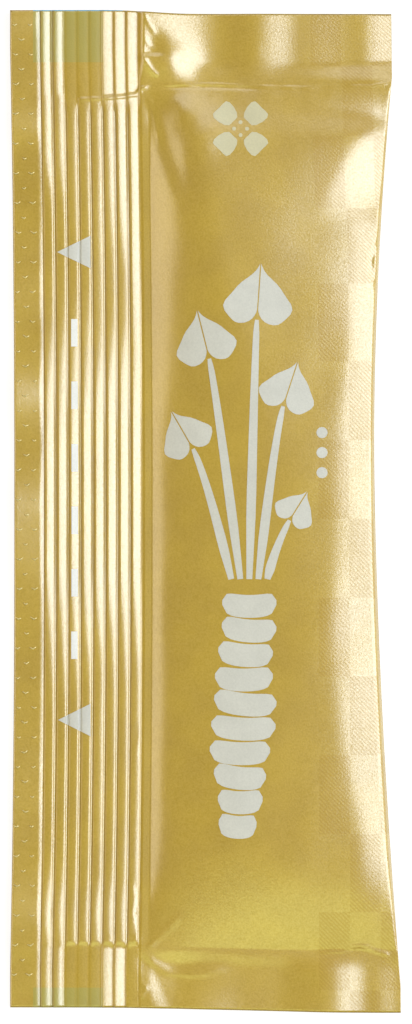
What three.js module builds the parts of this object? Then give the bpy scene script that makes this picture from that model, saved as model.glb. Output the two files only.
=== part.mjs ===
// A flat single-serve condiment sachet, filled with wasabi paste, lying on its back.
// One sheet of laminate is folded along the right edge (+X). It is crimp-sealed along the left
// side and flat-sealed across both ends, so its two layers meet only at those seals.
// Millimetres. +Z is up and the top end points to +Y. The origin is the centre of the
// footprint, on the surface that the sachet lies on.

import * as THREE from 'three';

const { clamp, lerp, smoothstep } = THREE.MathUtils;

// Outline
const halfLength = 40.12;
const halfWidth = 15.64; // half the width of the bottom end
const topRightCorner = 14.88; // the fold leans, so the top end is a little narrower
const foldPull = { depth: 1.72, centre: 4, upperReach: 31, lowerReach: 42, shape: 1.8 };
const sideBow = { depth: 0.34, reach: 37, shape: 2.2 }; // the sealed side bows inwards too
const topDip = { depth: 0.3, from: -8, to: -1 }; // the top cut drops beyond the crimped side
const bottomDip = { depth: 0.42, from: -10, to: 15 }; // and the bottom cut towards the fold
const cutReach = 15; // length over which a crooked cut evens out

// Film
const filmThickness = 0.08; // polyester, foil and polyethylene laminate
const halfGap = 0.02; // from the seal plane to each layer: the seal is a hairline, not solid

// Seals
const tearStripWidth = 2.36; // plain strip with the tear marks, along the left cut edge
const ribCount = 8;
const ribPitch = 0.99;
const ribHeight = 0.24;
const grooveShare = 0.36; // part of each pitch taken by the groove
const flatStripWidth = 0.76; // between the last rib and the chamber
const fullRibs = 2; // ribs next to the tear strip that keep their height to both ends
const pressedFlat = 0.75; // share of their height that the others lose in the end seals
const ribFadeLength = 3; // length over which they lose it
const topSeal = 5.9; // length of the sealed band at the top end
const bottomSeal = 5;

// Chamber
const filledHeight = 3.2; // top of the plump part above the surface
const sealPlane = 1.1; // height at which the seals leave the chamber
const sideDroop = 0.5; // how far the crimped side sinks towards its cut edge
const droopShape = 1.5;
const endDroop = 0.3; // how far each end seal sinks towards its cut edge
const topRise = { length: 14, shape: 2.2 }; // the film's climb from the top seal
const bottomRise = { length: 11.5, shape: 2.1 }; // and from the bottom seal
const crest = { lower: 8.6, upper: 1, from: -6, to: 27 }; // the highest line across, which wanders
const halves = { from: -5, to: 4 }; // the lower half's shapes turn into the upper half's
const footRise = { lower: 0.55, upper: 0.32 }; // the first quick rise from the crimped side
const footLength = { lower: 1, upper: 0.8 };
const climbShape = { lower: 1.6, upper: 2 }; // of the climb from the foot to the crest
const crown = 0.0105; // curvature of the fall from the crest towards the fold
const shoulder = { lower: 10.1, upper: 12.3, slope: 0.11 }; // beyond this it slopes down faster
const shoulderShift = { rise: 2.4, from: 13, to: 28 }; // towards the bottom the shoulder moves out
const fan = { slope: 0.2, edge: 14.8, lean: 0.55, from: 22, to: 28 }; // drops to the top corner
const softness = 0.35; // how far the bends at the shoulder and the fan spread
const foldWidth = { lower: 1.7, upper: 1.9 }; // width over which the film rounds to the fold
const foldShape = 2.4; // 2 being an ellipse
const straightShare = 0.72; // part of the chamber's width before the stations crowd at the fold
const underOverfill = 1.3; // presses the underside flat against the surface
const underFoot = 1.3; // width over which the underside sinks from the crimped side

// Paste
const pasteClearance = 0.1;
const pasteLeastOpening = 0.3; // the paste stops short of where the chamber is flatter than this

const ribsStart = -halfWidth + tearStripWidth;
const ribsEnd = ribsStart + ribCount * ribPitch;
const chamberStart = ribsEnd + flatStripWidth;
const chamberTop = halfLength - topSeal;
const chamberBottom = -halfLength + bottomSeal;

// How far the sealed side has moved towards the middle at y up the length.
function bow(y) {
  return sideBow.depth * (1 - Math.min(1, Math.abs(y) / sideBow.reach) ** sideBow.shape);
}

// Where the fold lies at y. The filled chamber draws it inwards.
function foldEdge(y) {
  const line = lerp(halfWidth, topRightCorner, (y + halfLength) / (2 * halfLength));
  const reach = y > foldPull.centre ? foldPull.upperReach : foldPull.lowerReach;
  const away = Math.min(1, Math.abs(y - foldPull.centre) / reach);
  return line - foldPull.depth * (1 - away ** foldPull.shape);
}

// The cut ends aren't quite square: how far the point at (x, y) moves along the length.
function cutShift(x, y) {
  const start = halfLength - cutReach;
  const top = topDip.depth * smoothstep(x, topDip.from, topDip.to);
  const bottom = bottomDip.depth * (1 - smoothstep(x, bottomDip.from, bottomDip.to));
  return bottom * smoothstep(-y, start, halfLength) - top * smoothstep(y, start, halfLength);
}

// Height of the plane in which the two layers meet.
function sealHeight(x, y) {
  const side = clamp((chamberStart - x) / (chamberStart + halfWidth), 0, 1);
  const end = Math.max(0, (y - chamberTop) / topSeal, (chamberBottom - y) / bottomSeal);
  return sealPlane - sideDroop * side ** droopShape - endDroop * end;
}

// Crimp ribs run the length of the sealed side. u is the distance across the flat sheet.
function ribs(u, y) {
  const across = (u - ribsStart) / ribPitch;
  if (across <= 0 || across >= ribCount) return 0;
  const fromGroove = Math.min(across % 1, 1 - (across % 1));
  const raised = clamp(fromGroove / (grooveShare / 2), 0, 1);
  const inEndSeal = Math.max(
    smoothstep(y, chamberTop, chamberTop + ribFadeLength),
    smoothstep(-y, -chamberBottom, -chamberBottom + ribFadeLength),
  );
  const lost = across > fullRibs ? pressedFlat * inEndSeal : 0;
  return ribHeight * (1 - lost) * (raised - 0.5);
}

// How far the chamber has opened at y, from 0 in the end seals to 1 where it is full.
function opening(y) {
  const fromTop = clamp((chamberTop - y) / topRise.length, 0, 1);
  const fromBottom = clamp((y - chamberBottom) / bottomRise.length, 0, 1);
  return (1 - (1 - fromTop) ** topRise.shape) * (1 - (1 - fromBottom) ** bottomRise.shape);
}

// A shape that differs between the lower and the upper half, at y.
function shapeAt(shape, y) {
  return lerp(shape.lower, shape.upper, smoothstep(y, halves.from, halves.to));
}

// 0 before a line, and growing evenly with the distance past it.
function falling(past) {
  return softness * Math.log1p(Math.exp(past / softness));
}

// Height of the front above the seals, were there no fold to round over to.
function filledSection(x, y) {
  const full = filledHeight - sealPlane - filmThickness - halfGap;
  const start = chamberStart + bow(y);
  const wandered = smoothstep(y, crest.from, crest.to);
  const crestLine = lerp(crest.lower, crest.upper, wandered);
  const toCrest = clamp((crestLine - x) / (crestLine - start), 0, 1);
  const foot = shapeAt(footRise, y);
  const quick = foot * (1 - Math.exp(-(x - start) / shapeAt(footLength, y)));
  const slow = (full - foot) * (1 - toCrest ** shapeAt(climbShape, y));
  const shifted = shoulderShift.rise * smoothstep(-y, shoulderShift.from, shoulderShift.to);
  const shoulderLine = lerp(shoulder.lower, shoulder.upper, wandered) + shifted;
  const fanLine = fan.edge - fan.lean * (chamberTop - y);
  const fall =
    shoulder.slope * falling(x - shoulderLine) +
    fan.slope * smoothstep(y, fan.from, fan.to) * falling(x - fanLine);
  return quick + slow - fall - (crown / 2) * Math.max(0, x - crestLine) ** 2;
}

// Depth of the underside below the seals.
function underSection(x, y) {
  const depth = underOverfill * (sealPlane - filmThickness - halfGap);
  return depth * (1 - Math.exp(-(x - chamberStart - bow(y)) / underFoot));
}

// 1 over the plump part and 0 at the fold.
function roundOver(fromFold, y) {
  const over = clamp(1 - fromFold / shapeAt(foldWidth, y), 0, 1);
  return (1 - over ** foldShape) ** (1 / foldShape);
}

// Part of the chamber's width reached at p, from 0 at the crimp to 1 at the fold.
function acrossShare(p) {
  if (p < straightShare) return p;
  const angle = ((p - straightShare) / (1 - straightShare)) * (Math.PI / 2);
  return straightShare + (1 - straightShare) * Math.sin(angle);
}

// A point on the inside of the film: side is 1 on the front layer and -1 on the back one.
function innerPoint(u, y, side) {
  const plane = sealHeight(u, y);
  if (u <= chamberStart) {
    return new THREE.Vector2(u + bow(y), plane + ribs(u, y) + side * halfGap);
  }
  const start = chamberStart + bow(y);
  const fold = foldEdge(y) - filmThickness - halfGap;
  const x = lerp(start, fold, acrossShare((u - chamberStart) / (halfWidth - chamberStart)));
  const section = side > 0 ? filledSection(x, y) : underSection(x, y);
  const rise = opening(y) * roundOver(fold - x, y) * section;
  return new THREE.Vector2(x, Math.max(filmThickness, plane + side * (halfGap + rise)));
}

// Positions from one end of a stretch to the other, without the first.
function steps(from, to, count) {
  return Array.from({ length: count }, (_, i) => lerp(from, to, (i + 1) / count));
}

// Stations across one layer of the flat sheet, from the cut edge to the fold.
const straightEnd = lerp(chamberStart, halfWidth, straightShare);
const footEnd = chamberStart + 2 * footLength.lower;
const acrossStations = [-halfWidth, ...steps(-halfWidth, ribsStart, 2)];
for (let i = 0; i < ribCount; i++) {
  const groove = ribsStart + i * ribPitch;
  acrossStations.push(groove + (ribPitch * grooveShare) / 2);
  acrossStations.push(groove + ribPitch * (1 - grooveShare / 2));
  acrossStations.push(groove + ribPitch);
}
acrossStations.push(chamberStart);
const chamberColumn = acrossStations.length - 1;
acrossStations.push(...steps(chamberStart, footEnd, 3));
acrossStations.push(...steps(footEnd, straightEnd, 6));
acrossStations.push(...steps(straightEnd, halfWidth, 6));

// Stations along the length, closer together where the chamber opens.
const climbTop = chamberTop - topRise.length;
const climbBottom = chamberBottom + bottomRise.length;
const lengthStations = [
  -halfLength,
  ...steps(-halfLength, chamberBottom, 3),
  ...steps(chamberBottom, climbBottom, 6),
  ...steps(climbBottom, climbTop, 6),
  ...steps(climbTop, chamberTop, 7),
  ...steps(chamberTop, halfLength, 3),
];

// One row of the film's inside, from the front cut edge round the fold to the back one.
function innerRow(y) {
  const front = acrossStations.map((u) => innerPoint(u, y, 1));
  const back = acrossStations.map((u) => innerPoint(u, y, -1)).reverse();
  const apex = new THREE.Vector2(foldEdge(y) - filmThickness, sealHeight(halfWidth, y));
  return [...front, apex, ...back];
}

// Moves each point of a row along its outward normal, which is to the left of the way it runs.
function offsetRow(row, distance) {
  return row.map((point, i) => {
    const before = row[Math.max(0, i - 1)];
    const after = row[Math.min(row.length - 1, i + 1)];
    const along = new THREE.Vector2().subVectors(after, before).normalize();
    return new THREE.Vector2(point.x - along.y * distance, point.y + along.x * distance);
  });
}

// Bends a flat box of columns x rows cells. place gives the row point for each of its corners.
function bend(columns, rows, place) {
  const geometry = new THREE.BoxGeometry(columns, rows, 1, columns, rows, 1);
  const position = geometry.attributes.position;
  for (let i = 0; i < position.count; i++) {
    const column = Math.round(position.getX(i) + columns / 2);
    const row = Math.round(position.getY(i) + rows / 2);
    const { point, y } = place(column, row, position.getZ(i) > 0);
    position.setXYZ(i, point.x, y + cutShift(point.x, y), point.y);
  }
  geometry.computeVertexNormals();
  return geometry;
}

function makeFilm() {
  const inner = lengthStations.map(innerRow);
  const outer = inner.map((row) => offsetRow(row, filmThickness));
  const geometry = bend(inner[0].length - 1, inner.length - 1, (column, row, outside) => {
    const points = outside ? outer : inner;
    return { point: points[row][column], y: lengthStations[row] };
  });
  const material = new THREE.MeshStandardMaterial({
    color: 0xc4a050,
    roughness: 0.4,
    metalness: 0.85,
  });
  const mesh = new THREE.Mesh(geometry, material);
  mesh.name = 'film_sachet';
  return mesh;
}

// The paste fills the chamber, a little clear of the film and short of its corners.
function makePaste() {
  const first = chamberColumn + 1;
  const last = acrossStations.length - 2;
  const stations = lengthStations.filter((y) => opening(y) > pasteLeastOpening);
  const lines = stations.map((y) => offsetRow(innerRow(y), -pasteClearance));
  const geometry = bend(last - first, stations.length - 1, (column, row, above) => {
    const line = lines[row];
    const index = first + column;
    const point = above ? line[index] : line[line.length - 1 - index];
    return { point, y: stations[row] };
  });
  const material = new THREE.MeshStandardMaterial({
    color: 0x8fa83c,
    roughness: 0.6,
    metalness: 0,
  });
  const mesh = new THREE.Mesh(geometry, material);
  mesh.name = 'wasabi_paste';
  return mesh;
}

const sachet = new THREE.Group();
sachet.add(makeFilm(), makePaste());

export default sachet;
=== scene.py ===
import math

import bmesh
import bpy
import numpy as np
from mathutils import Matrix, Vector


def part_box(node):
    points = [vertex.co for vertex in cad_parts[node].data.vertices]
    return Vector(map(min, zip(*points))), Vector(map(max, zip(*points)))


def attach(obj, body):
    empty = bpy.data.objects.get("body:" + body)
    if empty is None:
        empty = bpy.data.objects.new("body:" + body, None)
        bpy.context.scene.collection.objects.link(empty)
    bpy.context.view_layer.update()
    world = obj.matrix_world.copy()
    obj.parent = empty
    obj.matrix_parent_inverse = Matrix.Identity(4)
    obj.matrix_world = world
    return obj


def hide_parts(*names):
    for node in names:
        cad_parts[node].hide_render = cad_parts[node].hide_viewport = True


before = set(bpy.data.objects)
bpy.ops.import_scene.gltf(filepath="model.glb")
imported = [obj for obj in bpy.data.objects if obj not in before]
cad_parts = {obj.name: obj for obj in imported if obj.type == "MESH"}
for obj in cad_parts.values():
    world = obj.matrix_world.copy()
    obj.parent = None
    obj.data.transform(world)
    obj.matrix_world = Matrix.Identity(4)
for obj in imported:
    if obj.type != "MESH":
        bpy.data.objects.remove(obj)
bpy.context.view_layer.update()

# lengths are worked out in millimetres and turned into metres as they go into a mesh
mm = 0.001
halfWidth, halfLength = (float(size / mm) for size in np.array(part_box("film_sachet")[1])[:2])
filledHeight = 3.2

sachet = {
    "topRightCorner": 14.88,  # the fold leans, so the top end is a little narrower
    "foldPull": 1.72,  # how far the filling draws the fold in
    "foldPullCentre": 4.0,
    "foldPullReach": (42.0, 31.0),  # towards the bottom end and the top end
    "foldPullShape": 1.8,
    "sideBow": (0.34, 37.0, 2.2),  # the crimped side bows in too: how far, its reach and its shape
    # the cut ends aren't quite square: how far each is off, and between which places across
    "topDip": (0.3, -8.0, -1.0),
    "bottomDip": (0.42, 15.0, -10.0),
    "dipFrom": 25.0,  # distance from the middle at which that begins
    "tearStrip": 2.36,
    "ribs": 8,
    "ribPitch": 0.99,
    "flatStrip": 0.76,  # between the last rib and the chamber
    "topSeal": 5.9,
    "bottomSeal": 5.0,
    "sealPlane": 1.1,  # height of the seals where they leave the chamber
    "sideDroop": (0.5, 1.5),  # how far the crimped side sinks towards its cut edge, and its shape
    "endDroop": 0.3,
    "topDroopShare": 0.3,  # the top end sinks less
    "layers": 0.2,  # two layers of film
    "topRise": (14.0, 2.2),  # length over which the chamber opens, and how suddenly
    "bottomRise": (11.5, 2.1),
    "underFill": 1.3,  # presses the underside flat
    "underFoot": 1.3,  # width over which the underside sinks from the crimp
}

# a pair here is for the lower half and the upper half, unless its note says otherwise
plump = {
    "crest": (8.6, 1.0),  # where the filled part is highest across
    "crestTurn": (-6.0, 27.0),  # and where up the length it moves over
    "foot": (0.55, 0.32),  # the first quick rise from the crimp
    "footLength": (1.0, 0.8),
    "climbShape": (1.6, 2.0),
    "crown": 0.0105,  # how quickly it curves down from there towards the fold, per mm
    "shoulder": (10.1, 12.3),  # where it begins to slope down faster
    "shoulderShift": (2.4, -13.0, -28.0),  # towards the bottom it moves out again
    "shoulderSlope": 0.11,
    # a flat fan drops away to the pinched top corner: its slope, edge, and how the edge leans
    "fan": (0.2, 14.8, 0.55),
    "fanFade": (22.0, 28.0),  # it comes in between these heights
    "roundWidth": (0.42, 0.32),  # where it rounds over to the fold
    "roundness": (2.5, 2.5),
    "softness": 0.35,  # how far those bends spread
    "halves": (-5.0, 4.0),  # the lower half passes into the upper between these
    "foldLip": 0.05,  # a narrow flat lip along the fold
    "cornerReach": (7.0, 9.0),  # the round is narrower this near the top and bottom seals
    "cornerShare": 0.3,  # down to this share of its width
}

ribsStart = -halfWidth + sachet["tearStrip"]
ribsEnd = ribsStart + sachet["ribs"] * sachet["ribPitch"]
chamberStart = ribsEnd + sachet["flatStrip"]
chamberTop = halfLength - sachet["topSeal"]
chamberBottom = -halfLength + sachet["bottomSeal"]


def smooth(lo, hi, value):
    t = np.clip((value - lo) / (hi - lo), 0.0, 1.0)
    return t * t * (3.0 - 2.0 * t)


def turning(pair, where, value):
    # the pair's first number, turning smoothly into its second
    return pair[0] + (pair[1] - pair[0]) * smooth(where[0], where[1], value)


def hump(value, centre, reach):
    # 1 at the centre, and about a third of it at the reach
    return np.exp(-(((value - centre) / reach) ** 2))


def swell(x, y, centre, size, turn=0.0):
    # a soft oval rise, 1 at its centre
    c, s = math.cos(math.radians(turn)), math.sin(math.radians(turn))
    dx, dy = x - centre[0], y - centre[1]
    return hump(c * dx + s * dy, 0.0, size[0]) * hump(c * dy - s * dx, 0.0, size[1])


def stepped(value, steps):
    # a run of smooth steps, each a rise between two places
    return sum(rise * smooth(start, stop, value) for rise, start, stop in steps)


def crease(x, y, path, width, fade=0.18):
    # a ridge along a path of points, 1 on the line, dying away at its two ends
    near = np.full(np.shape(x), 1e9)
    along = np.zeros(np.shape(x))
    lengths = [math.dist(p, q) for p, q in zip(path, path[1:])]
    total, done = sum(lengths), 0.0
    for (px, py), (qx, qy), length in zip(path, path[1:], lengths):
        t = np.clip(((x - px) * (qx - px) + (y - py) * (qy - py)) / length**2, 0.0, 1.0)
        gap = np.hypot(x - px - t * (qx - px), y - py - t * (qy - py))
        along = np.where(gap < near, (done + t * length) / total, along)
        near = np.minimum(near, gap)
        done += length
    taper = smooth(0.0, fade, along) * smooth(1.0, 1.0 - fade, along)
    return taper * np.exp(-((near / width) ** 2))


def bow(y):
    # how far in the crimped side bows
    depth, reach, shape = sachet["sideBow"]
    return depth * (1.0 - np.minimum(1.0, np.abs(y) / reach) ** shape)


def foldEdge(y):
    # the fold's place across, drawn in by the filling
    line = halfWidth + (sachet["topRightCorner"] - halfWidth) * (y + halfLength) / (2 * halfLength)
    lower, upper = sachet["foldPullReach"]
    reach = np.where(y > sachet["foldPullCentre"], upper, lower)
    away = np.minimum(1.0, np.abs(y - sachet["foldPullCentre"]) / reach)
    return line - sachet["foldPull"] * (1.0 - away ** sachet["foldPullShape"])


def cutShift(x, y):
    # how far the cut ends are off square
    topDepth, *topStretch = sachet["topDip"]
    bottomDepth, *bottomStretch = sachet["bottomDip"]
    top = topDepth * smooth(*topStretch, x) * smooth(sachet["dipFrom"], halfLength, y)
    bottom = bottomDepth * smooth(*bottomStretch, x) * smooth(-sachet["dipFrom"], -halfLength, y)
    return bottom - top


def sealHeight(x, y):
    sideDroop, shape = sachet["sideDroop"]
    side = np.clip((chamberStart + bow(y) - x) / (chamberStart + halfWidth), 0.0, 1.0)
    top = (y - chamberTop) / sachet["topSeal"]
    bottom = (chamberBottom - y) / sachet["bottomSeal"]
    end = np.maximum(0.0, np.maximum(sachet["topDroopShare"] * top, bottom))
    return sachet["sealPlane"] - sideDroop * side**shape - sachet["endDroop"] * end


def opening(y):
    # 0 at the end seals and 1 where the chamber is fully open
    topLength, topShape = sachet["topRise"]
    bottomLength, bottomShape = sachet["bottomRise"]
    fromTop = np.clip((chamberTop - y) / topLength, 0.0, 1.0)
    fromBottom = np.clip((y - chamberBottom) / bottomLength, 0.0, 1.0)
    return (1.0 - (1.0 - fromTop) ** topShape) * (1.0 - (1.0 - fromBottom) ** bottomShape)


def falling(past):
    # 0 before a line, and growing evenly with the distance past it
    return plump["softness"] * np.log1p(np.exp(past / plump["softness"]))


def filledSection(x, y):
    # height of the front over the seals, were there no fold to round over to
    full = filledHeight - sachet["sealPlane"] - sachet["layers"] / 2
    start = chamberStart + bow(y)
    crest = turning(plump["crest"], plump["crestTurn"], y)
    foot, footLength = (turning(plump[name], plump["halves"], y) for name in ("foot", "footLength"))
    toCrest = np.clip((crest - x) / (crest - start), 0.0, 1.0)
    climb = foot * (1.0 - np.exp(-np.maximum(0.0, x - start) / footLength))
    climb += (full - foot) * (1.0 - toCrest ** turning(plump["climbShape"], plump["halves"], y))
    shift, shiftStart, shiftStop = plump["shoulderShift"]
    shoulder = turning(plump["shoulder"], plump["crestTurn"], y)
    shoulder = shoulder + shift * smooth(shiftStart, shiftStop, y)
    fall = plump["shoulderSlope"] * falling(x - shoulder)
    fanSlope, fanEdge, fanLean = plump["fan"]
    fall += fanSlope * smooth(*plump["fanFade"], y) * falling(x - fanEdge + fanLean * (chamberTop - y))
    return climb - 0.5 * plump["crown"] * np.maximum(0.0, x - crest) ** 2 - fall


def roundOver(x, y):
    # 1 over the filled part and 0 at the fold
    topReach, bottomReach = plump["cornerReach"]
    corner = smooth(0.0, topReach, chamberTop - y) * smooth(0.0, bottomReach, y - chamberBottom)
    least = plump["cornerShare"]
    width = turning(plump["roundWidth"], plump["halves"], y) * (least + (1.0 - least) * corner)
    shape = turning(plump["roundness"], plump["halves"], y)
    t = np.clip(1.0 - (foldEdge(y) - plump["foldLip"] - x) / width, 0.0, 1.0)
    return np.maximum(0.0, 1.0 - t**shape) ** (1.0 / shape)


# eight ribs pressed into the film, each leaning its own way
crimp = {
    "height": 0.13,
    "crest": 0.36,  # half of a crest's width, as a share of the pitch
    "pressedCrest": 0.42,  # and in the end seals
    "wall": 0.075,  # and the width of each groove's wall
    "sag": 0.03,  # how far a crest rounds off at its sides
    "flatterMiddle": (0.4, (-12.0, -4.0), (27.0, 16.0)),  # less of it between these heights
    "floorLean": 0.16,  # slope of the grooves' floors
    "topFade": (31.7, 33.3),  # the crests sink towards the top seal between these heights
    "bottomFade": (-34.6, -35.15),
    "pressedHeight": 0.85,  # share of their height that they lose there
    "pressedSag": 0.5,
    "fullLength": 2,  # ribs that run on to both ends
    # the drop across half a crest where it leans fully, and in the end seals; the least lean is backwards
    "lean": 0.119,
    "sealLean": 0.1,
    "leanBack": 0.016,
    # all of them lean around the middle: how much, and where that rises and sinks again
    "middleLean": (0.95, (-19.0, -3.0), (24.0, 5.0)),
    # rib by rib: how much it leans by the top, where that begins and is full, and the least elsewhere
    "upperLean": (0.8, 0.6, 0.3, 0.25, 0.42, 0.65, 0.92, 0.92),
    "upperFrom": (23.0, 21.0, 15.0, 16.0, 9.0, 10.0, 10.0, -2.0),
    "upperFull": (29.0, 30.0, 24.0, 27.0, 16.0, 31.0, 29.0, 22.0),
    "upperLeast": (0.0, 0.1, 0.2, 0.2, 0.35, 0.35, 0.45, 0.45),
    "lowerLeast": (0.0, 0.0, 0.0, 0.0, 0.28, 0.16, 0.22, 0.32),
    "lowerLean": (0.75, 0.6, 0.32, 0.35, 0.6, 0.5, 0.46, 0.1),
    "lowerPlace": (-32.4, 3.6),
    "inTopSeal": (1.05, 0.95, 0.25, 0.3, 0.35, 1.15, 1.25, 1.2),
    "inBottomSeal": (0.65, 0.7, 0.15, 0.25, 0.3, 1.0, 1.15, 0.0),
    # the painted shade on a groove's wall, as distances from the groove in shares of its width
    "grooveShadeFrom": (0.25, 0.6),
    "grooveShadeTo": (1.15, 0.9),
}


def perRib(name, rib):
    return np.array(crimp[name])[rib]


def crestLean(rib, y):
    # the drop across half a crest: the crests lean by turns along the crimp
    middle, rising, sinking = crimp["middleLean"]
    share = middle * smooth(*rising, y) * smooth(*sinking, y)
    share = np.maximum(share, np.where(y > 0, perRib("upperLeast", rib), perRib("lowerLeast", rib)))
    start, full = perRib("upperFrom", rib), perRib("upperFull", rib)
    share = np.maximum(share, perRib("upperLean", rib) * smooth(0.0, 1.0, (y - start) / (full - start)))
    share = np.maximum(share, perRib("lowerLean", rib) * hump(y, *crimp["lowerPlace"]))
    return crimp["lean"] * share - crimp["leanBack"]


def ribs(x, y):
    rib = (x - bow(y) - ribsStart) / sachet["ribPitch"]
    index = np.clip(np.floor(rib), 0, sachet["ribs"] - 1).astype(int)
    inside = (rib > -1e-6) & (rib < sachet["ribs"] + 1e-6)
    pressed = smooth(crimp["fullLength"] - 0.04, crimp["fullLength"] + 0.04, rib)
    lost = pressed * np.maximum(smooth(*crimp["topFade"], y), smooth(*crimp["bottomFade"], y))
    sealTop, sealBottom = crimp["topFade"][1], crimp["bottomFade"][1]
    inTop = smooth(sealTop - 0.1, sealTop + 0.2, y)
    inBottom = smooth(sealBottom + 0.1, sealBottom - 0.1, y)
    inSeal = np.maximum(inTop, inBottom)
    sealShare = np.where(y > 0, perRib("inTopSeal", index), perRib("inBottomSeal", index))
    sealLean = crimp["sealLean"] * sealShare - crimp["leanBack"]
    lean = crestLean(index, y) * (1.0 - inSeal) + sealLean * inSeal
    # across one rib, c is -1 and 1 at the sides of its crest
    half = crimp["crest"] + (crimp["pressedCrest"] - crimp["crest"]) * lost
    c = ((rib - index) - 0.5) / half
    top = crimp["height"] * (1.0 - crimp["pressedHeight"] * lost)
    flatter, rising, sinking = crimp["flatterMiddle"]
    sag = crimp["sag"] * (1.0 - crimp["pressedSag"] * lost)
    sag = sag * (1.0 - flatter * smooth(*rising, y) * smooth(*sinking, y))
    crest = top - sag * c * c - lean * c
    edge = top - sag - lean * np.sign(c)
    wall = smooth(0.0, 1.0, (np.abs(c) - 1.0) * half / crimp["wall"])
    floor = -crimp["floorLean"] * sachet["ribPitch"] * (rib - np.rint(rib))
    profile = np.where(np.abs(c) < 1.0, crest, edge * (1.0 - wall) + floor * wall)
    return np.where(inside, profile - crimp["height"] / 2, 0.0)


def grooveWalls(x, y):
    # 1 on the steep sides of the grooves, which are painted darker and less shiny as shade
    rib = (x - bow(y) - ribsStart) / sachet["ribPitch"]
    fromGroove = np.abs(rib - np.rint(rib)) / (0.5 - crimp["crest"])
    inside = (rib > -0.2) & (rib < sachet["ribs"] + 0.2)
    shadedGrooves = smooth(*crimp["grooveShadeFrom"], fromGroove) * smooth(*crimp["grooveShadeTo"], fromGroove)
    return np.where(inside, shadedGrooves, 0.0)


tearStrip = {
    # where the strip twists up to the light or away from it: height up the sachet, reach, slope
    "twists": ((39.2, 1.8, 0.09), (34.8, 1.6, 0.03), (31.2, 1.6, 0.11), (25.4, 2.8, -0.075),
               (17.2, 2.0, 0.07), (9.4, 2.4, 0.15), (0.8, 2.6, 0.16), (-3.6, 2.4, 0.09),
               (-22.8, 3.6, 0.06), (-31.6, 2.6, 0.09)),
    "ripple": 0.012,
}


def tearStripWaves(x, y):
    away = np.minimum(0.0, x - bow(y) - ribsStart)
    slope = sum(rise * hump(y, centre, reach) for centre, reach, rise in tearStrip["twists"])
    ripple = tearStrip["ripple"] * np.sin(y * 2.1 + 0.6 * np.sin(y * 0.7)) * smooth(0.0, -1.0, away)
    return -slope * away + ripple


# the sealed ends buckle: each step is the rise or fall over a stretch across
buckles = {
    "top": ((0.38, -5.38, -4.95), (-0.8, -6.0, 1.0), (0.34, 0.9, 4.2), (-0.31, 4.0, 7.7), (-0.17, 7.7, 11.7),
            (-0.42, 12.4, 16.4)),
    "bottom": ((0.06, -5.2, -4.3), (0.11, -2.6, -0.6), (-0.16, -0.4, 3.2), (0.42, 5.8, 9.6),
               (-0.33, 9.9, 13.2), (-0.1, 13.6, 15.6)),
    "bottomWedge": (-0.13, -4.2, -2.5),
    "wedgeSlant": 0.47,
    # how far each side of the chamber's two ends the buckling begins and is full
    "topReach": (-0.1, 2.3),
    "bottomReach": (-0.2, -1.8),
}


def endWaves(x, y):
    inTop = smooth(*buckles["topReach"], y - chamberTop)
    inBottom = smooth(*buckles["bottomReach"], y - chamberBottom)
    slanted = x + buckles["wedgeSlant"] * (y + halfLength)
    bottom = stepped(x, buckles["bottom"]) + stepped(slanted, [buckles["bottomWedge"]])
    return inTop * stepped(x, buckles["top"]) + inBottom * bottom


# ridges and furrows: height, width, path and, where it isn't the usual one, how the ends fade
creases = {
    # where each seal ends the film is nipped into a fine ridge
    "seams": (
        (0.09, 0.17, ((-10.4, 32.95), (-8.2, 33.05), (-6.6, 33.2), (-5.5, 33.4), (-5.2, 33.9),
                      (-4.4, 34.2)), 0.1),
        (0.055, 0.13, ((-4.9, 34.1), (-1.7, 34.36), (0.4, 34.38), (5.2, 34.2), (9.6, 34.12))),
        (-0.03, 0.14, ((-4.4, 34.0), (-1.7, 34.14), (0.6, 34.16), (4.6, 34.0))),
        (0.05, 0.12, ((11.1, 34.22), (13.3, 34.22), (14.8, 34.5))),
        (0.05, 0.14, ((8.9, -35.3), (11.2, -35.2), (11.6, -34.8), (13.4, -34.7))),
        (0.06, 0.16, ((12.4, -34.8), (14.8, -35.5))),
    ),
    # where the seals meet the crimp they pull folds into the chamber and the seals
    "corners": (
        (-0.12, 0.75, ((-4.9, 34.0), (-3.6, 31.0), (-2.2, 27.0), (-1.5, 24.5)), 0.3),
        (0.06, 0.22, ((-4.7, 33.6), (-4.0, 31.5), (-3.5, 29.0))),
        (0.05, 0.25, ((-4.8, -35.3), (-3.4, -34.0), (-1.8, -32.2))),
        (0.06, 0.3, ((-5.0, -35.4), (-4.2, -36.4), (-2.9, -37.2), (-0.6, -37.3), (2.0, -36.6))),
        (0.03, 0.09, ((3.6, -35.5), (3.6, -38.3))),
        (0.03, 0.18, ((4.1, 38.0), (4.0, 37.0), (4.2, 36.2))),
    ),
    "pocket": (
        (0.05, 0.12, ((-4.95, 40.0), (-4.6, 39.3), (-3.95, 38.2))),
        (0.05, 0.13, ((-4.9, 38.0), (-4.5, 37.4), (-3.9, 37.1))),
        (0.1, 0.15, ((-5.15, 36.6), (-4.7, 36.0), (-4.3, 35.4), (-3.8, 34.95)), 0.12),
    ),
    "handling": (
        (-0.06, 0.12, ((11.5, 11.6), (12.5, 11.1), (13.4, 11.0))),
        (0.04, 0.1, ((11.3, -11.5), (13.4, -11.5))),
        (-0.07, 0.12, ((11.8, 22.5), (13.0, 22.4))),
        (-0.05, 0.16, ((-5.7, -29.6), (-5.3, -31.0), (-5.6, -32.2), (-5.3, -33.6))),
        (0.05, 0.12, ((-5.3, -38.0), (-4.7, -38.5), (-5.2, -39.1), (-4.6, -39.4))),
    ),
}

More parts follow.
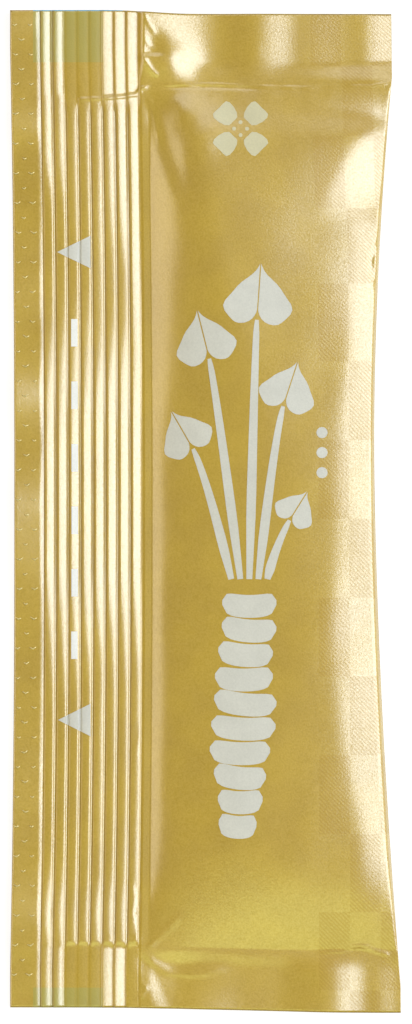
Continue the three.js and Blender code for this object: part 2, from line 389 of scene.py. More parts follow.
# soft oval rises and dents: height, centre, size and turn
swells = {
    "corners": ((0.3, (-0.3, 30.4), (1.5, 2.6), -15), (0.24, (-1.7, 32.2), (1.0, 1.3))),
    "pocket": ((0.32, (-2.6, 36.35), (1.4, 1.55), 8),),
    "handling": ((-0.06, (-5.6, -18.0), (0.28, 0.35)), (0.05, (-5.5, -18.8), (0.25, 0.2)),
                 (0.08, (-5.5, -34.5), (0.25, 0.35))),
    "filling": ((0.12, (3.0, -23.5), (3.4, 5.5)),),
}


def creased(x, y, place):
    return sum(height * crease(x, y, path, width, *fade) for height, width, path, *fade in creases[place])


def swollen(x, y, place):
    return sum(height * swell(x, y, *oval) for height, *oval in swells[place])


def pucker(x, y):
    # short folds hang from the top seam into the chamber
    near = smooth(-1.5, -0.1, y - chamberTop) * smooth(chamberTop + 0.15, chamberTop, y)
    folds = np.sin(x * 3.1 + 1.4 * np.sin(x * 0.83)) * smooth(-4.4, -3.0, x) * smooth(12.0, 8.0, x)
    return 0.022 * near * folds


corners = {
    # a dip below the top seam: depth, where it falls and rises across, and its place up the length
    "topDip": (0.2, (-1.8, 0.5), (1.5, 9.5), (32.2, 2.3)),
    # beyond it the film slopes off to the fold: slope, start and length across, and its place
    "topSlope": (0.036, 5.0, 9.0, (32.1, 1.6)),
    # a hollow in the bottom seal: depth, its place across, where it is deep, and how it ends
    "bottomHollow": (0.2, (-1.4, 3.0), -1.5, (-40.2, -37.6)),
}


def cornerFolds(x, y):
    depth, falls, rises, place = corners["topDip"]
    z = -depth * (smooth(*falls, x) - smooth(*rises, x)) * hump(y, *place)
    slope, start, length, place = corners["topSlope"]
    z -= slope * np.clip(x - start, 0.0, length) * hump(y, *place)
    depth, across, deep, ends = corners["bottomHollow"]
    z -= depth * hump(x, *across) * smooth(0.0, deep, y - chamberBottom) * smooth(*ends, y)
    return z + creased(x, y, "corners") + swollen(x, y, "corners")


ledge = {
    "depth": 0.18,
    "faces": (36.45, 36.95),  # the heights between which it faces the top end
    "recovers": (39.4, 37.2),
    "across": (-4.2, 0.85),
}


def pocket(x, y):
    # a crumpled dent with a ledge across it, where the top seal meets the crimp
    across = smooth(*ledge["faces"], y) * smooth(*ledge["recovers"], y) * hump(x, *ledge["across"])
    return swollen(x, y, "pocket") + creased(x, y, "pocket") - ledge["depth"] * across


knock = {
    # the line where the dent begins: heights up the sachet, and how far across it lies at each
    "heights": (16.4, 17.9, 19.3, 20.0, 21.0, 22.0),
    "line": (13.62, 13.4, 13.08, 12.92, 13.3, 13.75),
    "depth": 0.2,
    "fall": 0.22,  # width over which it drops, and over which it comes up again
    "recovery": 0.85,
    "bottom": (16.3, 17.2),
    "top": (22.3, 21.3),
}


def foldKnock(x, y):
    # the fold is knocked in at one place, to a small flat that faces away from the light
    past = x - np.interp(y, knock["heights"], knock["line"])
    dent = smooth(0.0, knock["fall"], past) * (1.0 - np.clip(past / knock["recovery"], 0.0, 1.0))
    return knock["depth"] * dent * smooth(*knock["bottom"], y) * smooth(*knock["top"], y)


def handling(x, y):
    # small creases and dents from filling and handling
    return creased(x, y, "handling") + swollen(x, y, "handling") - foldKnock(x, y)


def unevenness(x, y):
    # the paste lies in soft lumps under the film
    lumps = 0.02 * np.sin(x * 0.9 + 0.8 * np.sin(y * 0.31)) * np.sin(y * 0.47 + 0.9 * np.sin(x * 0.37))
    return swollen(x, y, "filling") + lumps


def relief(x, y):
    seams = creased(x, y, "seams") + pucker(x, y)
    return endWaves(x, y) + seams + cornerFolds(x, y) + pocket(x, y) + handling(x, y)


def frontHeight(x, y):
    z = sealHeight(x, y) + sachet["layers"] / 2 + ribs(x, y) + relief(x, y) + tearStripWaves(x, y)
    return z + opening(y) * roundOver(x, y) * (filledSection(x, y) + unevenness(x, y))


def backHeight(x, y):
    start = chamberStart + bow(y)
    depth = sachet["underFill"] * (sachet["sealPlane"] - sachet["layers"] / 2)
    foot = 1.0 - np.exp(-np.maximum(0.0, x - start) / sachet["underFoot"])
    sink = depth * foot * opening(y) * roundOver(x, y)
    z = sealHeight(x, y) - sachet["layers"] / 2 + ribs(x, y) + tearStripWaves(x, y) - sink
    return np.maximum(0.0, z + relief(x, y) * (1.0 - opening(y)))


# the film: one grid for both layers, closed round its rim
filmMesh = {
    "flatOfChamber": 0.72,  # share of the chamber's columns before those that round over to the fold
    "stripColumns": 12,
    "ribColumns": (1, 3, 6, 3, 1),  # half a groove, its wall, the crest, a wall and half a groove
    "flatStripColumns": 7,
    "footEnds": (0.6, 3.2),  # the film rises fast this near the crimp
    "chamberColumns": (4, 13, 24, 26),
    # each stretch's end up the length, and its rows, which crowd at the seams and the knock
    "rows": ((chamberBottom - 0.8, 22), (chamberBottom + 0.6, 12), (chamberBottom + 9.0, 26),
             (16.3, 63), (22.3, 20), (chamberTop - 11.0, 2), (chamberTop - 1.4, 32),
             (chamberTop + 0.5, 24), (halfLength, 34)),
    "foldInset": 0.03,  # the outermost columns of the two layers lie this far inside the fold's edge
    "filmEdge": 0.06,  # depth of the parting line between the two layers at a cut edge
}

chequerMm = {
    "width": 2.46,
    "height": 6.29,
    "firstRow": 12.0,
    # its second column's left side: place across, and how far it wanders towards the middle and the bottom
    "line": 10.84,
    "lineDrift": ((0.62, (39.0, 14.0)), (0.08, (5.0, -25.0))),
    "stretch": (1.28, 12.0, 23.88),  # towards the top the squares stretch: how far, from where, over what
}


def run(start, stop, count):
    return [start + (stop - start) * (i + 1) / count for i in range(count)]


def runs(start, stretches):
    places = [start]
    for stop, count in stretches:
        places += run(places[-1], stop, count)
    return places[1:]


def stationsAcross():
    across = [-halfWidth] + run(-halfWidth, ribsStart, filmMesh["stripColumns"])
    pitch = sachet["ribPitch"]
    low = (0.5 - crimp["crest"] - crimp["wall"]) * pitch
    high = (0.5 - crimp["crest"]) * pitch
    for rib in range(sachet["ribs"]):
        start = ribsStart + rib * pitch
        stops = (start + low, start + high, start + pitch - high, start + pitch - low, start + pitch)
        across += runs(start, zip(stops, filmMesh["ribColumns"]))
    across += run(ribsEnd, chamberStart, filmMesh["flatStripColumns"])
    near, far = filmMesh["footEnds"]
    flatEnd = chamberStart + filmMesh["flatOfChamber"] * (halfWidth - chamberStart)
    stops = (chamberStart + near, chamberStart + far, flatEnd, halfWidth)
    across += runs(chamberStart, zip(stops, filmMesh["chamberColumns"]))
    return np.array(across)


def stationsAlong():
    return np.array([-halfLength] + runs(-halfLength, filmMesh["rows"]))


def placeAcross(u, y):
    # where a column of the flat sheet ends up once the filling has drawn the fold in
    flat = filmMesh["flatOfChamber"]
    q = np.clip((u - chamberStart) / (halfWidth - chamberStart), 0.0, 1.0)
    turn = np.clip((q - flat) / (1.0 - flat), 0.0, 1.0) * math.pi / 2
    share = np.where(q < flat, q, flat + (1.0 - flat) * np.sin(turn))
    left = chamberStart + bow(y)
    right = foldEdge(y) - filmMesh["foldInset"]
    return np.where(u <= chamberStart, u + bow(y), left + (right - left) * share)


def chequerLine(y):
    return chequerMm["line"] + sum(drift * smooth(*stretch, y) for drift, stretch in chequerMm["lineDrift"])


def printedLength(y):
    most, start, length = chequerMm["stretch"]
    return y + most * (np.maximum(0.0, y - start) / length) ** 2


def wrapDistance(across, along):
    # how far round the film each front and back point lies from the chequer's line
    x = placeAcross(across[None, :], along[:, None])
    y = np.broadcast_to(along[:, None], x.shape)
    apart = []
    for height in (frontHeight(x, y), backHeight(x, y)):
        steps = np.hypot(np.diff(x, axis=1), np.diff(height, axis=1))
        toFold = np.cumsum(steps[:, ::-1], axis=1)[:, ::-1]
        apart.append(np.hstack([toFold, np.zeros((len(along), 1))]))
    front, back = apart
    line = [np.interp(chequerLine(along[r]), x[r], front[r]) for r in range(len(along))]
    return front, back, np.array(line)


def makeObject(name, mesh, material):
    mesh.shade_smooth()
    mesh.materials.append(material)
    made = bpy.data.objects.new(name, mesh)
    bpy.context.collection.objects.link(made)
    print(name + ":", len(mesh.polygons), "faces")
    return made


def makeFromMm(name, bm, material):
    # an object from a shape in millimetres
    bmesh.ops.scale(bm, vec=(mm, mm, mm), verts=bm.verts[:])
    mesh = bpy.data.meshes.new(name)
    bm.to_mesh(mesh)
    bm.free()
    return makeObject(name, mesh, material)


def makeFilm():
    across, along = stationsAcross(), stationsAlong()
    columns, rows = len(across) - 1, len(along) - 1
    bm = bmesh.new()
    bmesh.ops.create_grid(bm, x_segments=columns, y_segments=rows, size=1.0)
    bmesh.ops.solidify(bm, geom=bm.faces[:], thickness=0.1)
    rim = [e for e in bm.edges if abs(e.verts[0].co.z - e.verts[1].co.z) > 0.05]
    bmesh.ops.subdivide_edges(bm, edges=rim, cuts=1)
    mesh = bpy.data.meshes.new("film")
    bm.to_mesh(mesh)
    bm.free()
    co = np.empty(len(mesh.vertices) * 3)
    mesh.vertices.foreach_get("co", co)
    co = co.reshape(-1, 3)
    column = np.rint((co[:, 0] + 1.0) / 2.0 * columns).astype(int)
    row = np.rint((co[:, 1] + 1.0) / 2.0 * rows).astype(int)
    layer = (co[:, 2] - co[:, 2].min()) / np.ptp(co[:, 2])  # 1 front, 0 back, half way on the rim
    u, y = across[column], along[row]
    x = placeAcross(u, y)
    front, back = frontHeight(x, y), backHeight(x, y)
    rimVerts = (layer > 0.25) & (layer < 0.75)
    atFold = u > halfWidth - 1e-6
    z = front * layer + back * (1.0 - layer)
    x = np.where(rimVerts & atFold, foldEdge(y), x)
    # between the two layers each cut edge has a fine parting line
    x = np.where(rimVerts & (column == 0), x + filmMesh["filmEdge"], x)
    atEnd = rimVerts & ((row == 0) | (row == rows)) & ~atFold
    placed = y + cutShift(x, y) - np.where(atEnd, filmMesh["filmEdge"] * np.sign(y), 0.0)
    mesh.vertices.foreach_set("co", (np.stack([x, placed, z], axis=1) * mm).ravel())

    # the printing follows the flat sheet: distance round from the chequer, and up the sachet
    frontApart, backApart, line = wrapDistance(across, along)
    distance = np.where(layer > 0.5, -frontApart[row, column], backApart[row, column])
    distance = np.where(rimVerts & atFold, 0.0, distance) + line[row]
    printing = np.stack([distance, printedLength(y)], axis=1)
    loopVerts = np.empty(len(mesh.loops), dtype=int)
    mesh.loops.foreach_get("vertex_index", loopVerts)
    mesh.uv_layers.new(name="printing").data.foreach_set("uv", printing[loopVerts].ravel())

    # bare film shows along the cut edges, where the ink stops
    bare = mesh.attributes.new("cutEdge", "FLOAT", "POINT")
    bare.data.foreach_set("value", (rimVerts & ~atFold).astype(float))
    # the grooves' steep walls, where shade is painted
    grooveShade = mesh.attributes.new("shadedGrooves", "FLOAT", "POINT")
    grooveShade.data.foreach_set("value", grooveWalls(x, y))
    mesh.update()
    return makeObject("film", mesh, goldFoil())


def linear(code):
    # an sRGB hex colour as linear red, green, blue and alpha
    parts = [int(code[i:i + 2], 16) / 255 for i in (1, 3, 5)]
    return [c / 12.92 if c <= 0.04045 else ((c + 0.055) / 1.055) ** 2.4 for c in parts] + [1.0]


def setNode(tree, node, values):
    # values go to the node's own properties by name, or to its inputs by name or number
    for name, value in values.items():
        if isinstance(name, str) and hasattr(node, name):
            setattr(node, name, value)
        elif isinstance(value, bpy.types.NodeSocket):
            tree.links.new(value, node.inputs[name])
        else:
            node.inputs[name].default_value = linear(value) if isinstance(value, str) else value


def addNode(tree, kind, values, output=0):
    node = tree.nodes.new("ShaderNode" + kind)
    setNode(tree, node, values)
    return node.outputs[output]


def newMaterial(name):
    material = bpy.data.materials.new(name)
    material.use_nodes = True
    return material, material.node_tree, material.node_tree.nodes["Principled BSDF"]


def objectMm(tree):
    place = addNode(tree, "TexCoord", {}, "Object")
    return addNode(tree, "Mapping", {"Vector": place, "Scale": (1000, 1000, 1000)})


def speckle(tree, where, size, ranges, detail=2.0):
    # noise with grains of a real size, as it is and then turned to each range: its low and high values
    # and, where they aren't the usual ones, the two levels of noise that give them
    grain = addNode(tree, "TexNoise", {"Vector": where, "Scale": 1 / size, "Detail": detail})
    turned = []
    for low, high, *levels in ranges:
        start, stop = levels or (0.3, 0.7)
        values = {"Value": grain, "From Min": start, "From Max": stop, "To Min": low, "To Max": high}
        turned.append(addNode(tree, "MapRange", values))
    return grain, *turned


def mottled(tree, base, *shades):
    # the base, darker and lighter by each of the shades
    for shade in shades:
        values = {"data_type": "RGBA", "blend_type": "MULTIPLY", 0: 1.0, 6: base, 7: shade}
        base = addNode(tree, "Mix", values, 2)
    return base


def inked(tree, base, colour, where, share=1.0):
    # a colour over the base: where is 1 inside its shape, and share is how much of it shows there
    amount = addNode(tree, "Math", {"operation": "MULTIPLY", 0: where, 1: share})
    return addNode(tree, "Mix", {"data_type": "RGBA", 0: amount, 6: base, 7: colour}, 2)


foil = {
    "gold": "#ba9710",
    "deepGold": "#b28f0e",
    "sparkle": "#f2dca0",
    "grooveShade": "#9c7a12",  # painted shade in the grooves of the crimp
    "metal": 0.12,
    "gloss": 0.55,  # roughness of the gold under the clear film
    "clearGloss": 0.24,  # and of the clear film over it
    "clearIndex": 2.5,  # above a real film's 1.6, for its strong bloom
    "cloudMm": 3.6,
    "grainMm": 0.15,
    "grainShade": (0.9, 1.1),
    "sparkleShare": 0.05,
    "grainHides": 0.36,  # share of the clear film's shine that the grain takes at its deepest
    "hatchHides": 0.32,  # and that the chequer's lines and the painted groove shade take
    "grooveShadeHides": 0.6,
    "grooveShadeShare": 0.3,
    "hatch": "#a88306",
    "hatchMm": 0.24,  # between the chequer's lines, drawn coarser than real ones so that they show
    "hatchShare": 0.75,
    "hatchEdge": (-0.3, 0.8),  # the part of each line's wave over which it darkens
    "green": "#969b4b",
    "greenShare": 0.45,
    "cyan": "#58b8dc",
    "bareEdge": "#d8d4c4",
    # printed rectangles: centre and half a width across, and the same up the length
    "greenMarks": (((-11.0, 2.8), (38.2, 2.25)), ((-11.0, 2.8), (-39.7, 1.6))),
    "cyanLine": ((-10.2, 3.6), (40.12, 0.07)),
}


def chequer(tree):
    # alternate squares of fine slanting lines, five columns round the fold
    sheet = addNode(tree, "UVMap", {"uv_map": "printing"})
    across, up = addNode(tree, "SeparateXYZ", {0: sheet}).node.outputs[:2]
    column = addNode(tree, "Math", {"operation": "DIVIDE", 0: across, 1: chequerMm["width"]})
    column = addNode(tree, "Math", {"operation": "FLOOR", 0: column})
    row = addNode(tree, "Math", {"operation": "SUBTRACT", 0: chequerMm["firstRow"], 1: up})
    row = addNode(tree, "Math", {"operation": "DIVIDE", 0: row, 1: chequerMm["height"]})
    row = addNode(tree, "Math", {"operation": "FLOOR", 0: row})
    odd = addNode(tree, "Math", {"operation": "ADD", 0: column, 1: row})
    odd = addNode(tree, "Math", {"operation": "FLOORED_MODULO", 0: odd, 1: 2.0})
    even = addNode(tree, "Math", {"operation": "LESS_THAN", 0: odd, 1: 0.5})
    inColumns = addNode(tree, "Math", {"operation": "COMPARE", 0: column, 1: 1.0, 2: 2.5})
    square = addNode(tree, "Math", {"operation": "MULTIPLY", 0: inColumns, 1: even})
    turns = 2 * math.pi / foil["hatchMm"] / math.sqrt(2)
    wave = addNode(tree, "Math", {"operation": "ADD", 0: across, 1: up})
    wave = addNode(tree, "Math", {"operation": "MULTIPLY", 0: wave, 1: turns})
    wave = addNode(tree, "Math", {"operation": "SINE", 0: wave})
    start, stop = foil["hatchEdge"]
    values = {"Value": wave, "From Min": start, "From Max": stop, "To Min": 0.15, "To Max": 1.0}
    line = addNode(tree, "MapRange", values)
    return addNode(tree, "Math", {"operation": "MULTIPLY", 0: square, 1: line})


def box(tree, axes, *spans):
    # 1 inside a printed rectangle
    inside = []
    for axis, (centre, half) in zip(axes, spans):
        inside.append(addNode(tree, "Math", {"operation": "COMPARE", 0: axis, 1: centre, 2: half}))
    return addNode(tree, "Math", {"operation": "MULTIPLY", 0: inside[0], 1: inside[1]})


def goldFoil():
    # metallised film, gold ink over aluminium under a satin clear film: a warm base that changes
    # slowly with tilt, and a whitish bloom on top that comes and goes quickly
    material, tree, shader = newMaterial("satinGoldLaminate")
    where = objectMm(tree)
    ranges = (foil["grainShade"], (0.0, foil["sparkleShare"]),
              (foil["gloss"] - 0.06, foil["gloss"] + 0.06), (1.0 - foil["grainHides"], 1.0))
    grain, shade, sparkle, gloss, bloom = speckle(tree, where, foil["grainMm"], ranges)
    cloud = speckle(tree, where, foil["cloudMm"], [(0.0, 1.0, 0.35, 0.65)], 3.0)[1]
    base = mottled(tree, inked(tree, foil["deepGold"], foil["gold"], cloud), shade)
    base = inked(tree, base, foil["sparkle"], sparkle)
    lines = chequer(tree)
    base = inked(tree, base, foil["hatch"], lines, foil["hatchShare"])
    # register marks over the crimp's two ends in see-through green, and a cyan line along the cut
    axes = addNode(tree, "SeparateXYZ", {0: where}).node.outputs[:2]
    top, bottom = (box(tree, axes, *mark) for mark in foil["greenMarks"])
    green = addNode(tree, "Math", {"operation": "MAXIMUM", 0: top, 1: bottom})
    base = inked(tree, base, foil["green"], green, foil["greenShare"])
    cutEdge = addNode(tree, "Attribute", {"attribute_name": "cutEdge"}, "Fac")
    base = inked(tree, base, foil["bareEdge"], cutEdge)
    base = inked(tree, base, foil["cyan"], box(tree, axes, *foil["cyanLine"]))
    # painted shade: the grooves' walls get darker gold and less of the clear film's shine
    shadedGrooves = addNode(tree, "Attribute", {"attribute_name": "shadedGrooves"}, "Fac")
    base = inked(tree, base, foil["grooveShade"], shadedGrooves, foil["grooveShadeShare"])
    for shape, hides in ((lines, foil["hatchHides"]), (shadedGrooves, foil["grooveShadeHides"])):
        shown = addNode(tree, "Math", {"operation": "MULTIPLY_ADD", 0: shape, 1: -hides, 2: 1.0})
        bloom = addNode(tree, "Math", {"operation": "MULTIPLY", 0: bloom, 1: shown})
    bump = addNode(tree, "Bump", {"Height": grain, "Strength": 0.4, "Distance": 0.02 * mm})
    setNode(tree, shader, {
        "Base Color": base,
        "Metallic": foil["metal"],
        "Roughness": gloss,
        "Normal": bump,
        "Coat Weight": bloom,
        "Coat Roughness": foil["clearGloss"],
        "Coat IOR": foil["clearIndex"],
        "Coat Normal": bump,
    })
    return material


film = makeFilm()
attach(film, "root")
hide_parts("film_sachet")

ink = {
    "lift": 0.015,  # above the film
    "ribLift": 0.03,
    "depth": 0.05,
    "cell": 0.4,  # the ink is cut this fine, to follow the film
    "cloudMm": 1.9,
    "white": "#c6c3bc",
    "faint": "#c4bc9c",
    "guide": "#dddbd8",
}


def whiteInk(name, colour):
    # dense matt ink printed on the film: flat and chalky, with the film's own grain showing through
    material, tree, shader = newMaterial(name)
    where = objectMm(tree)
    grain, shade, roughness = speckle(tree, where, foil["grainMm"], ((0.95, 1.04), (0.5, 0.62)))
    cloud = speckle(tree, where, ink["cloudMm"], [(0.95, 1.03)], 3.0)[1]
    setNode(tree, shader, {
        "Base Color": mottled(tree, colour, cloud, shade),
        "Roughness": roughness,
        "Specular IOR Level": 0.3,
        "Normal": addNode(tree, "Bump", {"Height": grain, "Strength": 0.3, "Distance": 0.02 * mm}),
    })
    return material


def cutInCells(bm, cutsX, cutsY):
    for cuts, normal in ((cutsX, (1, 0, 0)), (cutsY, (0, 1, 0))):
        for cut in cuts:
            everything = bm.verts[:] + bm.edges[:] + bm.faces[:]
            place = [cut * n for n in normal]
            bmesh.ops.bisect_plane(bm, geom=everything, dist=1e-5, plane_co=place, plane_no=normal)


def printed(name, outlines, material, onRibs=False):
    # flat shapes laid on the front of the film, cut into cells so that they follow its relief
    bm = bmesh.new()
    for outline in outlines:
        bm.faces.new([bm.verts.new((x, y, 0.0)) for x, y in outline])
    bmesh.ops.triangulate(bm, faces=bm.faces[:])
    points = np.array([v.co[:2] for v in bm.verts])
    low, high = points.min(axis=0), points.max(axis=0)
    cutsX, cutsY = (np.arange(low[i] + ink["cell"], high[i], ink["cell"]) for i in (0, 1))
    if onRibs:
        columns = stationsAcross() + bow((low[1] + high[1]) / 2)
        cutsX = columns[(columns > low[0]) & (columns < high[0])]
    cutInCells(bm, cutsX, cutsY)
    for face in bm.faces:
        if face.normal.z < 0:
            face.normal_flip()
    top = bmesh.ops.extrude_face_region(bm, geom=bm.faces[:])["geom"]
    raised = {v for v in top if isinstance(v, bmesh.types.BMVert)}
    lift = ink["ribLift"] if onRibs else ink["lift"]
    x, y = (np.array([v.co[i] for v in bm.verts]) for i in (0, 1))
    z = frontHeight(x, y - cutShift(x, y)) + lift
    for v, height in zip(bm.verts, z):
        v.co.z = height if v in raised else height - ink["depth"]
    bmesh.ops.recalc_face_normals(bm, faces=bm.faces[:])
    piece = makeFromMm(name, bm, material)
    piece.data.set_sharp_from_angle(angle=math.radians(35))
    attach(piece, "root")


def curvePoint(path, t):
    # a point of the quadratic curve that starts, bends and ends at the path's three points
    (ax, ay), (bx, by), (cx, cy) = path
    return ((1 - t) ** 2 * ax + 2 * t * (1 - t) * bx + t * t * cx,
            (1 - t) ** 2 * ay + 2 * t * (1 - t) * by + t * t * cy)


def stroke(path, wide, narrow, count=14):
    # a brush stroke along a curve, tapering from wide to narrow
    left, right = [], []
    for i in range(count + 1):
        t = i / count
        px, py = curvePoint(path, t)
        qx, qy = curvePoint(path, t + 0.01)
        length = math.hypot(qx - px, qy - py)
        half = (wide + (narrow - wide) * t) / 2 * (0.55 + 0.45 * min(1.0, 6 * t, 6 * (1 - t) + 0.3))
        nx, ny = -(qy - py) / length * half, (qx - px) / length * half
        left.append((px + nx, py + ny))
        right.append((px - nx, py - ny))
    return left + right[::-1]


def placed(outline, place, turn=0.0):
    # the outline turned round its origin and moved to its place
    c, s = math.cos(math.radians(turn)), math.sin(math.radians(turn))
    return [(place[0] + c * x - s * y, place[1] + s * x + c * y) for x, y in outline]


def leafHalves(stem, size, turn):
    # a heart-shaped leaf in two halves with a bare midrib; stem is where its stalk joins
    halves = []
    for side in (-1, 1):
        outline = []
        for i in range(25):
            a = math.pi * i / 24
            across = side * (0.05 + 0.5 * size * math.sin(a) ** 3 * (1 + 0.05 * math.sin(9 * a)))
            heart = 13 * math.cos(a) - 5 * math.cos(2 * a) - 2 * math.cos(3 * a) - math.cos(4 * a)
            outline.append((across, size * 0.94 * (0.34 - heart / 29)))
        halves.append(placed(outline, stem, turn))
    return halves


def rootBand(centre, width, thick, turn):
    # one knobbly ring of the root, a crescent that sags in the middle
    outline = []
    for edge, sweep in ((0.5, range(13)), (-0.5, range(12, -1, -1))):
        for i in sweep:
            across = width * (i / 12 - 0.5)
            rounding = max(0.0, 1 - (2 * i / 12 - 1) ** 6) ** 0.5
            outline.append((across, thick * edge * (0.2 + 0.8 * rounding) + 0.32 * (across / width * 2) ** 2))
    return placed(outline, centre, turn)


plant = {
    "rootFoot": (2.5, -26.2),
    "rootTop": (3.5, -6.6),
    "rings": 10,
    "rootWidth": 4.9,
    "ringShare": 0.93,  # the rest of each ring's length is a bare gap
    "crown": (3.5, -5.4),
    # each leaf: where its stalk joins, its size, and which way it turns
    "leaves": (((-1.0, 5.0), 4.0, 30), ((0.3, 12.2), 4.6, 14), ((4.1, 15.3), 5.2, -4), ((6.2, 8.4), 4.3, -18),
               ((6.7, -0.7), 3.1, -32)),
    "stalk": (0.85, 0.42),
    "stalkGap": 0.72,
}


def plantOutlines():
    outlines = []
    (fx, fy), (tx, ty) = plant["rootFoot"], plant["rootTop"]
    step = math.dist(plant["rootFoot"], plant["rootTop"]) / plant["rings"]
    for i in range(plant["rings"]):
        t = (i + 0.5) / plant["rings"]
        girth = 0.45 + 0.55 * math.sin(min(1.0, 1.9 * t + 0.1) * math.pi / 2) - 0.18 * max(0.0, t - 0.6) / 0.4
        width = plant["rootWidth"] * girth * (1 + 0.05 * math.sin(5.1 * i))
        centre = (fx + (tx - fx) * t + 0.12 * math.sin(1.7 * i), fy + (ty - fy) * t)
        outlines.append(rootBand(centre, width, step * plant["ringShare"], 3.0 * math.sin(2.3 * i) - 3.0))
    for number, (place, size, turn) in enumerate(plant["leaves"]):
        lean = math.radians(turn)
        bend = (place[0] + 2.2 * math.sin(lean), place[1] - 2.6 * math.cos(lean))
        start = (plant["crown"][0] + plant["stalkGap"] * (number - 2), plant["crown"][1])
        outlines.append(stroke((start, bend, place), *plant["stalk"]))
        outlines += leafHalves(place, size, turn)
    return outlines


prints = {
    "blossom": (2.8, 30.6),
    "blossomSize": 2.6,
    "stamen": 0.16,
    "dots": 3,
    "firstDot": (9.3, 6.3),
    "dotPitch": 1.6,
    "dotRadius": 0.45,
    # plain triangles that show where to tear: their tips, where their base lies and half its length
    "openerTips": ((-11.88, 20.76), (-11.8, -16.68)),
    "openerBase": -9.2,
    "openerHalf": 1.3,
    # short lines along one rib's crest
    "dashes": 6,
    "dashRib": 2,
    "firstDash": 13.2,
    "dashPitch": 5.0,
    "dashLength": 2.2,
    "dashShare": 0.7,  # of the crest's width
}


def disc(centre, radius):
    angles = [math.pi * i / 6 for i in range(12)]
    return placed([(radius * math.cos(a), radius * math.sin(a)) for a in angles], centre)


def blossomOutlines(centre, size):
    # four notched petals and the ring of stamens between them
    petal = []
    for i in range(16):
        t = 2 * math.pi * i / 16
        out = size * (0.62 + 0.36 * math.cos(t) - 0.06 * math.cos(3 * t))
        petal.append((out, size * 0.3 * math.sin(t) * (1.1 + 0.35 * math.cos(t))))
    outlines = []
    for quarter in range(4):
        outlines.append(placed(petal, centre, 45 + 90 * quarter))
        stamen = placed([(0.2 * size, 0.0)], centre, 90 * quarter)[0]
        outlines.append(disc(stamen, prints["stamen"]))
    return outlines


def dotOutline(number):
    x, y = prints["firstDot"]
    return disc((x, y - prints["dotPitch"] * number), prints["dotRadius"])


def openerOutline(tip):
    base, half = prints["openerBase"], prints["openerHalf"]
    return [tip, (base, tip[1] - half), (base, tip[1] + half)]


def dashOutline(number):
    low = prints["firstDash"] - prints["dashPitch"] * number
    high = low + prints["dashLength"]
    x = ribsStart + (prints["dashRib"] + 0.5) * sachet["ribPitch"] + float(bow(low))
    half = prints["dashShare"] * crimp["crest"] * sachet["ribPitch"]
    return [(x - half, low), (x + half, low), (x + half, high), (x - half, high)]


white = whiteInk("whiteGravureInk", ink["white"])
faint = whiteInk("thinWhiteInk", ink["faint"])
pale = whiteInk("paleGuideInk", ink["guide"])
printed("plant_print", plantOutlines(), white)
printed("blossom_print", blossomOutlines(prints["blossom"], prints["blossomSize"]), faint)
printed("dots_print", [dotOutline(number) for number in range(prints["dots"])], white)
for number, tip in enumerate(prints["openerTips"]):
    printed("opener_print_%d" % (number + 1), [openerOutline(tip)], white, onRibs=True)
for number in range(prints["dashes"]):
    printed("guide_print_%d" % (number + 1), [dashOutline(number)], pale, onRibs=True)

marks = {
    "columns": (-15.28, -14.7, -14.05),
    "pitch": 2.376,
    "first": 38.9,
    "clearEnd": 2.0,
    "width": 0.24,
    "thick": (0.07, 0.08),  # along the sachet and up from it
    "bend": 0.55,
    # pale gold that paints in the highlights on the marks
    "colour": "#e3d08c",
    "grainMm": 0.08,
}


def embossedFoil():
    # the pressed tear marks are smooth film, and their pale colour is a painted highlight
    material, tree, shader = newMaterial("tearMarkHighlightFoil")
    ranges = ((0.85, 1.1), (0.25, 0.4))
    grain, shade, roughness = speckle(tree, objectMm(tree), marks["grainMm"], ranges)
    setNode(tree, shader, {
        "Base Color": mottled(tree, marks["colour"], shade),
        "Metallic": 0.6,
        "Roughness": roughness,
        "Normal": addNode(tree, "Bump", {"Height": grain, "Strength": 0.2, "Distance": 0.02 * mm}),
        "Coat Weight": 1.0,
        "Coat Roughness": 0.2,
    })
    return material


def makeTearMarks():
    # rows of tiny embossed smiles that start a tear, staggered along the plain strip
    bm = bmesh.new()
    left, middle, right = marks["columns"]
    rows = int((2 * halfLength - marks["clearEnd"]) / marks["pitch"] * 2)
    for i in range(rows):
        y = marks["first"] - marks["pitch"] / 2 * i
        for x in ((left, right) if i % 2 == 0 else (middle,)):
            x += 0.07 * math.sin(3.7 * i)
            wide = marks["width"] * (1.0 + 0.25 * math.sin(2.9 * i + x))
            at = float(bow(y)) + x
            made = bmesh.ops.create_uvsphere(bm, u_segments=10, v_segments=6, radius=1.0)["verts"]
            bmesh.ops.scale(bm, vec=(wide, *marks["thick"]), verts=made)
            z = float(frontHeight(np.array(at), np.array(y)))
            for v in made:
                v.co.y += marks["bend"] * abs(v.co.x) + 0.15 * v.co.x * math.sin(5.3 * i)
                v.co.x += at
                v.co.y += y
                v.co.z += z
    return makeFromMm("tear_marks", bm, embossedFoil())


tearMarks = makeTearMarks()
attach(tearMarks, "root")

pulpLook = {
    "darkPulp": "#7f9a34",
    "lightPulp": "#b4c46a",
    "shreds": "#5f7d26",
    "pulpMm": 0.35,
    "shredsPerMm": 1.6,
}


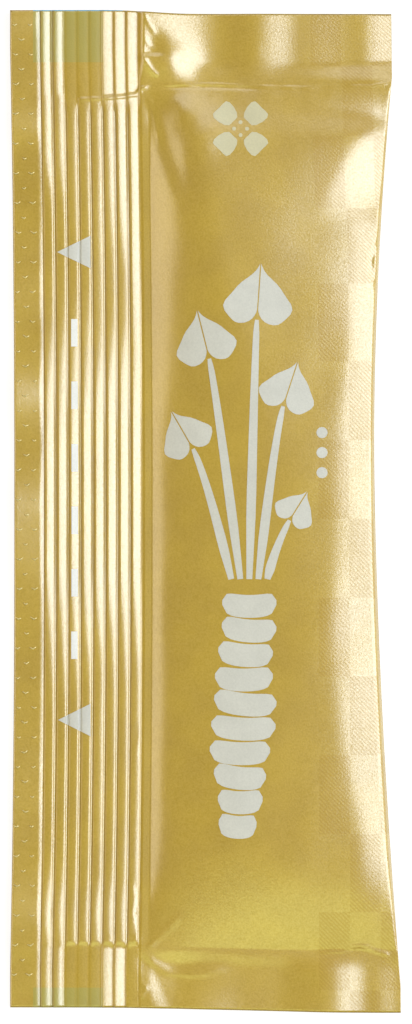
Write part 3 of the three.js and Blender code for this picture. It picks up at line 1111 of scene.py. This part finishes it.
def gratedPaste():
    # finely grated wasabi: moist pale green pulp with darker and lighter shreds
    material, tree, shader = newMaterial("moistGratedPaste")
    where = objectMm(tree)
    ranges = ((0.0, 1.0, 0.35, 0.65), (0.3, 0.55))
    pulp, light, roughness = speckle(tree, where, pulpLook["pulpMm"], ranges, 6.0)
    cells = addNode(tree, "TexVoronoi", {"Vector": where, "Scale": pulpLook["shredsPerMm"]}, "Distance")
    values = {"Value": cells, "From Min": 0.0, "From Max": 0.35, "To Min": 0.5, "To Max": 0.0}
    shreds = addNode(tree, "MapRange", values)
    base = inked(tree, pulpLook["darkPulp"], pulpLook["lightPulp"], light)
    setNode(tree, shader, {
        "Base Color": inked(tree, base, pulpLook["shreds"], shreds),
        "Roughness": roughness,
        "Normal": addNode(tree, "Bump", {"Height": pulp, "Strength": 0.8, "Distance": 0.2 * mm}),
        "Coat Weight": 0.35,
        "Coat Roughness": 0.15,
    })
    return material


paste = bpy.data.objects["wasabi_paste"]
pasteMaterial = gratedPaste()
for slot in paste.material_slots:
    slot.material = pasteMaterial

studio = {
    "pixelsPerMm": 12.5,
    "tallPixels": 1024,
    "lens": 400.0,
    "aim": (0.04, -0.04),
    "lightsAway": 1500.0,
    "world": 0.15,
    # softboxes: where each stands round the sachet, its tilt from overhead, its size, radiance and tint
    "lights": (
        ("keySoftbox", 0, 45, (1800, 1300), 4.6, "#f0f8ff"),
        ("leftSoftbox", 180, 68, (1300, 1750), 1.6, "#fff1cf"),
        ("topSoftbox", 90, 50, (750, 1250), 1.3, "#ffffff"),
        ("bottomSoftbox", 257, 38, (750, 1050), 1.75, "#e0ea8e"),
    ),
    "table": "#7c7c7c",
    "tableGlow": 0.86,
    "tableHalf": 2000.0,
    "tableGap": 0.05,
}


def makeCamera():
    # straight above, far enough away that the sides hardly converge
    data = bpy.data.cameras.new("camera")
    data.lens = studio["lens"]
    data.sensor_width = 36.0
    data.clip_start = 0.01
    tall = studio["tallPixels"] / studio["pixelsPerMm"]
    height = data.lens * tall / data.sensor_width
    camera = bpy.data.objects.new("camera", data)
    x, y = studio["aim"]
    camera.location = (x * mm, y * mm, (height + sachet["sealPlane"]) * mm)
    bpy.context.collection.objects.link(camera)
    bpy.context.scene.camera = camera


def makeLight(name, azimuth, tilt, size, radiance, colour):
    # a softbox turned down from overhead towards an azimuth
    distance = studio["lightsAway"]
    data = bpy.data.lights.new(name, "AREA")
    data.shape = "RECTANGLE"
    data.size, data.size_y = size[0] * mm, size[1] * mm
    data.color = linear(colour)[:3]
    data.energy = radiance * data.size * data.size_y * math.pi
    light = bpy.data.objects.new(name, data)
    a, t = math.radians(azimuth), math.radians(tilt)
    away = distance * math.sin(t) * mm
    light.location = (away * math.cos(a), away * math.sin(a), distance * math.cos(t) * mm)
    light.rotation_euler = (0.0, t, a)
    bpy.context.collection.objects.link(light)


def makeWorld():
    world = bpy.data.worlds.new("studio")
    bpy.context.scene.world = world
    world.use_nodes = True
    background = world.node_tree.nodes["Background"]
    background.inputs["Color"].default_value = (1, 1, 1, 1)
    background.inputs["Strength"].default_value = studio["world"]


def makeFloor():
    # white acrylic lit a little from below, just clear of the film
    material, tree, shader = newMaterial("opalTable")
    setNode(tree, shader, {
        "Base Color": studio["table"],
        "Roughness": 0.9,
        "Emission Color": "#ffffff",
        "Emission Strength": studio["tableGlow"],
    })
    bm = bmesh.new()
    bmesh.ops.create_grid(bm, x_segments=1, y_segments=1, size=studio["tableHalf"])
    bmesh.ops.translate(bm, verts=bm.verts[:], vec=(0, 0, -studio["tableGap"]))
    floor = makeFromMm("floor", bm, material)


makeCamera()
for light in studio["lights"]:
    makeLight(*light)
makeWorld()
makeFloor()
bpy.context.scene.view_settings.view_transform = "Standard"
